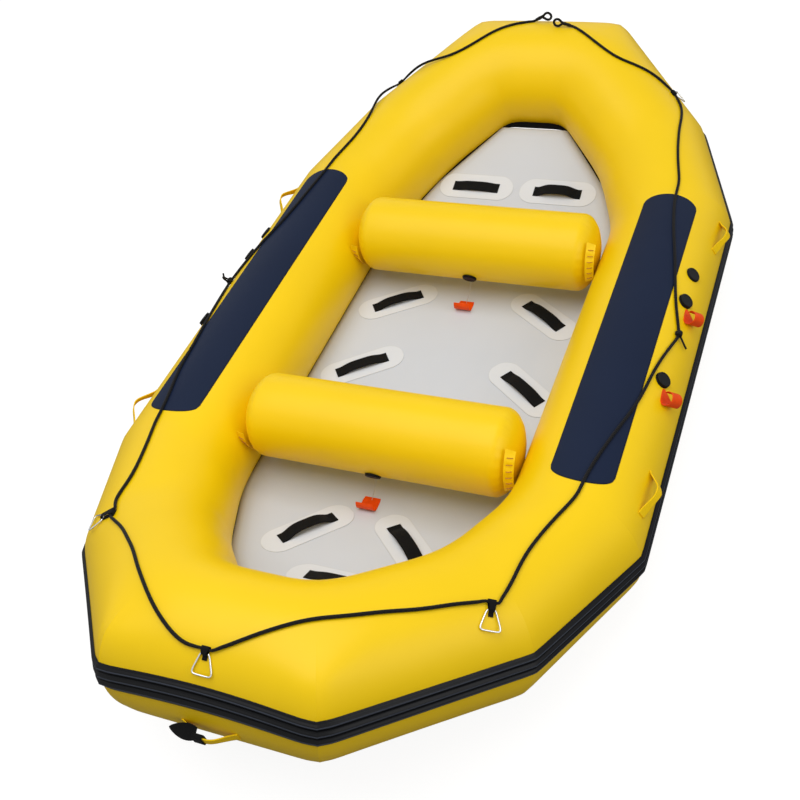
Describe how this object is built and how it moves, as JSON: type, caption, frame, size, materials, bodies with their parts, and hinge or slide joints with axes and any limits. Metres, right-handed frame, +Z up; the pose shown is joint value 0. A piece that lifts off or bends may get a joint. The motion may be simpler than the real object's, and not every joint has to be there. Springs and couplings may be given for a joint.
{
  "type": "inflatable boat",
  "caption": "Yellow inflatable whitewater raft with upturned ends, seat tubes, a raised floor, foot straps, valves, carry handles, and a grab line held by rings.",
  "frame": {"origin": "middle of the floor's flat underside, on the ground the raft stands on", "axes": "+Z up, +Y from the bow to the stern, +X to the port side"},
  "size_m": [1.9132, 3.5858, 0.7328],
  "materials": {
    "yellow_pvc": "satin",
    "navy_pvc": "matte",
    "grey_floor_pvc": "matte",
    "black_rubber": "satin",
    "black_plastic": "satin",
    "black_webbing": "matte",
    "black_rope": "matte",
    "orange_vinyl": "satin",
    "polished_steel": "polished"
  },
  "bodies": {
    "raft": {"bow_handle_wrap": "black_webbing", "floor_panel": "grey_floor_pvc", "foot_strap_bow_middle": "black_webbing", "foot_strap_bow_port": "black_webbing", "foot_strap_bow_starboard": "black_webbing", "foot_strap_mid_bow_port": "black_webbing", "foot_strap_mid_bow_starboard": "black_webbing", "foot_strap_mid_stern_port": "black_webbing", "foot_strap_mid_stern_starboard": "black_webbing", "foot_strap_stern_port": "black_webbing", "foot_strap_stern_starboard": "black_webbing", "grab_line": "black_rope", "handle_bow": "yellow_pvc", "handle_bow_port": "yellow_pvc", "handle_bow_starboard": "yellow_pvc", "handle_stern_port": "yellow_pvc", "handle_stern_starboard": "yellow_pvc", "hull_end_bow": "yellow_pvc", "hull_end_stern": "yellow_pvc", "hull_quarter_bow_port": "yellow_pvc", "hull_quarter_bow_starboard": "yellow_pvc", "hull_quarter_stern_port": "yellow_pvc", "hull_quarter_stern_starboard": "yellow_pvc", "hull_shoulder_bow_port": "yellow_pvc", "hull_shoulder_bow_starboard": "yellow_pvc", "hull_shoulder_stern_port": "yellow_pvc", "hull_shoulder_stern_starboard": "yellow_pvc", "hull_side_port": "yellow_pvc", "hull_side_starboard": "yellow_pvc", "relief_valve_port": "black_plastic", "relief_valve_starboard": "black_plastic", "ring_keeper_bow": "black_webbing", "ring_keeper_bow_port": "black_webbing", "ring_keeper_bow_starboard": "black_webbing", "ring_keeper_stern_port": "black_webbing", "ring_keeper_stern_starboard": "black_webbing", "rubbing_strake": "black_rubber", "thwart_bow": "yellow_pvc", "thwart_stern": "yellow_pvc", "thwart_tag_bow": "orange_vinyl", "thwart_tag_stern": "orange_vinyl", "thwart_valve_bow": "black_plastic", "thwart_valve_stern": "black_plastic", "valve_body_bow_port": "black_plastic", "valve_body_bow_starboard": "black_plastic", "valve_body_stern_port": "black_plastic", "valve_body_stern_starboard": "black_plastic", "wear_patch_port": "navy_pvc", "wear_patch_starboard": "navy_pvc"},
    "ring_bow_body": {"ring_bow": "polished_steel"},
    "ring_bow_port_body": {"ring_bow_port": "polished_steel"},
    "ring_stern_port_body": {"ring_stern_port": "polished_steel"},
    "ring_bow_starboard_body": {"ring_bow_starboard": "polished_steel"},
    "ring_stern_starboard_body": {"ring_stern_starboard": "polished_steel"},
    "valve_cap_stern_port_body": {"valve_cap_stern_port": "black_plastic"},
    "valve_cap_bow_port_body": {"valve_cap_bow_port": "black_plastic"},
    "valve_cap_stern_starboard_body": {"valve_cap_stern_starboard": "black_plastic"},
    "valve_cap_bow_starboard_body": {"valve_cap_bow_starboard": "black_plastic"},
    "valve_tag_stern_port_body": {"valve_tag_stern_port": "orange_vinyl"},
    "valve_tag_bow_port_body": {"valve_tag_bow_port": "orange_vinyl"}
  },
  "joints": [
    {"name": "ring_bow_swing", "type": "hinge", "parent": "raft", "child": "ring_bow_body", "pos_m": [0, -1.66359, 0.65976], "axis": [-1, 0, 0], "range_deg": [0, 135]},
    {"name": "ring_bow_port_swing", "type": "hinge", "parent": "raft", "child": "ring_bow_port_body", "pos_m": [0.63106, -1.27135, 0.51988], "axis": [-0.8204, -0.3286, 0.4679], "range_deg": [0, 155]},
    {"name": "ring_stern_port_swing", "type": "hinge", "parent": "raft", "child": "ring_stern_port_body", "pos_m": [0.6156, 1.33979, 0.51203], "axis": [0.6467, -0.6946, -0.3153], "range_deg": [0, 135]},
    {"name": "ring_bow_starboard_swing", "type": "hinge", "parent": "raft", "child": "ring_bow_starboard_body", "pos_m": [-0.63813, -1.24526, 0.51871], "axis": [-0.2271, 0.97, -0.0872], "range_deg": [0, 165]},
    {"name": "ring_stern_starboard_swing", "type": "hinge", "parent": "raft", "child": "ring_stern_starboard_body", "pos_m": [-0.6156, 1.33979, 0.51203], "axis": [0.6467, 0.6946, 0.3153], "range_deg": [0, 135]},
    {"name": "valve_cap_stern_port_turn", "type": "hinge", "parent": "raft", "child": "valve_cap_stern_port_body", "pos_m": [0.8701, 0.197, 0.3841], "axis": [0.7071, 0, 0.7071], "range_deg": [0, 90]},
    {"name": "valve_cap_bow_port_turn", "type": "hinge", "parent": "raft", "child": "valve_cap_bow_port_body", "pos_m": [0.8701, -0.202, 0.3841], "axis": [0.7071, 0, 0.7071], "range_deg": [0, 90]},
    {"name": "valve_cap_stern_starboard_turn", "type": "hinge", "parent": "raft", "child": "valve_cap_stern_starboard_body", "pos_m": [-0.8701, 0.197, 0.3841], "axis": [-0.7071, 0, 0.7071], "range_deg": [0, 90]},
    {"name": "valve_cap_bow_starboard_turn", "type": "hinge", "parent": "raft", "child": "valve_cap_bow_starboard_body", "pos_m": [-0.8701, -0.202, 0.3841], "axis": [-0.7071, 0, 0.7071], "range_deg": [0, 90]},
    {"name": "valve_tag_stern_port_lift", "type": "hinge", "parent": "raft", "child": "valve_tag_stern_port_body", "pos_m": [0.88066, 0.17059, 0.37309], "axis": [-0.5695, -0.5, 0.6524], "range_deg": [0, 105]},
    {"name": "valve_tag_bow_port_lift", "type": "hinge", "parent": "raft", "child": "valve_tag_bow_port_body", "pos_m": [0.88066, -0.22841, 0.37309], "axis": [-0.5695, -0.5, 0.6524], "range_deg": [0, 105]}
  ]
}
